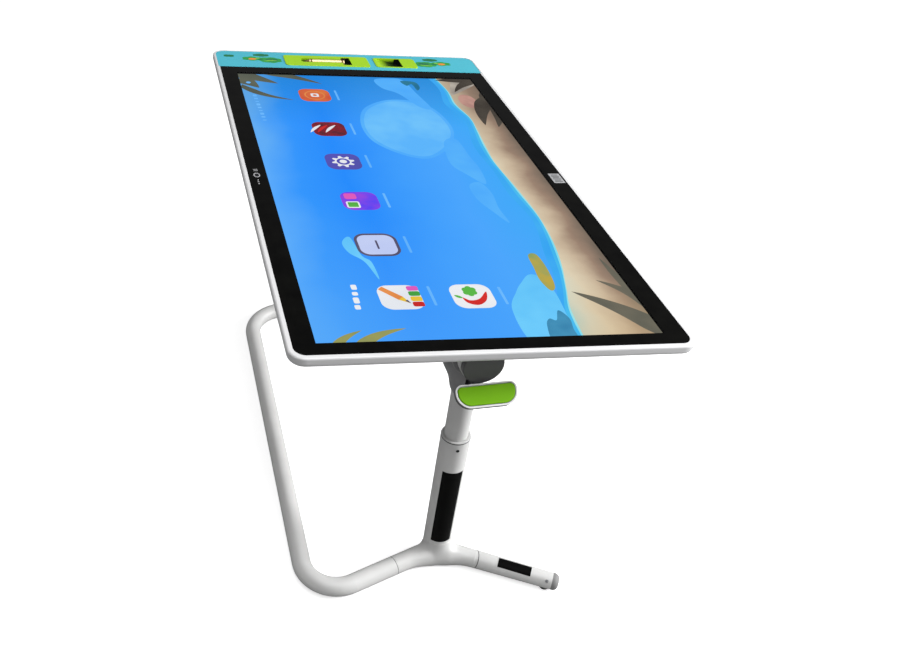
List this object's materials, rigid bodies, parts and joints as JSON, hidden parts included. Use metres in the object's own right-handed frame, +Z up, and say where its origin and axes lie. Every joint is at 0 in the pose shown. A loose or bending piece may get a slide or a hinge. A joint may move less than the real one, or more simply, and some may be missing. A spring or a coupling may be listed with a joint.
{
  "type": "height-adjustable touchscreen table",
  "caption": "Tilting touchscreen table top cantilevered from a telescopic column on a bent-tube floor base, with release lever and stylus tray.",
  "frame": {"origin": "on the floor under the column axis, at the centre of the hub's rubber pad", "axes": "+Z up, +Y along the table top away from the column, +X towards the user, on whose side the top slopes down"},
  "size_m": [0.614, 1.1186, 0.5956],
  "materials": {
    "powder_coat": "fine satin powder coat",
    "grey_rubber": "matt",
    "zinc_steel": "zinc plated",
    "dark_steel": "black",
    "black_film": "satin film",
    "grey_polymer": "moulded",
    "dark_polymer": "moulded",
    "chromed_steel": "polished",
    "brass_alloy": "machined",
    "green_rubber": "soft-touch",
    "frame_plastic": "satin moulded",
    "cover_glass": "polished, black printed border",
    "display_black": "polariser film",
    "clear_acrylic": "clear",
    "cover_plastic": "fine texture",
    "board_green": "solder mask",
    "turquoise_plastic": "printed",
    "lime_plastic": "moulded",
    "silver_film": "satin film",
    "gold_plastic": "pearl"
  },
  "bodies": {
    "base": {"base_hub": "powder_coat", "base_tube": "powder_coat", "foot_tube": "powder_coat", "foot_end_cap": "grey_rubber", "far_leg_end_cap": "grey_rubber", "foot_cap_screw": "zinc_steel", "floor_glides": "grey_rubber", "foot_label_plate": "black_film", "outer_column_tube": "powder_coat", "column_guide_bush": "grey_polymer", "column_set_screw": "dark_steel", "column_label_plate": "black_film", "gas_spring_cylinder": "dark_steel", "gas_spring_bolt": "zinc_steel"},
    "lift": {"inner_column_tube": "powder_coat", "inner_tube_slide_ring": "dark_polymer", "gas_spring_rod": "chromed_steel", "gas_spring_piston": "brass_alloy", "head_casting": "powder_coat", "hinge_bushes": "brass_alloy", "lever_pivot_pin": "zinc_steel", "lever_return_spring": "zinc_steel"},
    "release_pin": {"release_pin": "zinc_steel"},
    "lever": {"release_lever": "grey_polymer", "lever_pad": "green_rubber"},
    "table_top": {"tilt_shaft": "zinc_steel", "hinge_bracket": "powder_coat", "bracket_bolts": "dark_steel", "friction_washers": "dark_polymer", "shaft_nuts": "zinc_steel", "hinge_end_cap_front": "dark_polymer", "hinge_end_cap_rear": "dark_polymer", "support_rails": "zinc_steel", "panel_frame": "frame_plastic", "touch_glass": "cover_glass", "lcd_panel": "display_black", "light_guide": "clear_acrylic", "backlight_tray": "zinc_steel", "rear_cover": "cover_plastic", "rear_cover_screws": "zinc_steel", "power_inlet": "dark_polymer", "main_board": "board_green", "power_board": "board_green", "speakers": "dark_polymer", "tool_tray_panel": "turquoise_plastic", "pen_tray_insert": "lime_plastic", "eraser_tray_insert": "lime_plastic", "blank_plate": "silver_film"},
    "side_key": {"side_key": "grey_polymer"},
    "stylus": {"stylus_barrel": "gold_plastic", "stylus_tip": "dark_polymer"}
  },
  "joints": [
    {"name": "height_slide", "type": "slide", "parent": "base", "child": "lift", "axis": [0, 0, 1], "range_m": [-0.09, 0.08]},
    {"name": "top_tilt", "type": "hinge", "parent": "lift", "child": "table_top", "pos_m": [0, 0, 0.508], "axis": [0, 1, 0], "range_deg": [-4.25, 60]},
    {"name": "lever_press", "type": "hinge", "parent": "lift", "child": "lever", "pos_m": [0, 0.015, 0.455], "axis": [1, 0, 0], "range_deg": [0, 7]},
    {"name": "release_pin_slide", "type": "slide", "parent": "lift", "child": "release_pin", "axis": [0, 0, -1], "range_m": [0, 0.0019]},
    {"name": "side_key_press", "type": "slide", "parent": "table_top", "child": "side_key", "axis": [-0.9973, 0, 0.0741], "range_m": [0, 0.001]},
    {"name": "stylus_lift", "type": "slide", "parent": "table_top", "child": "stylus", "axis": [0.0741, 0, 0.9973], "range_m": [0, 0.08]}
  ],
  "couplings": [
    {"joint": "release_pin_slide", "follows": "lever_press", "m_per_rad": 0.015}
  ]
}
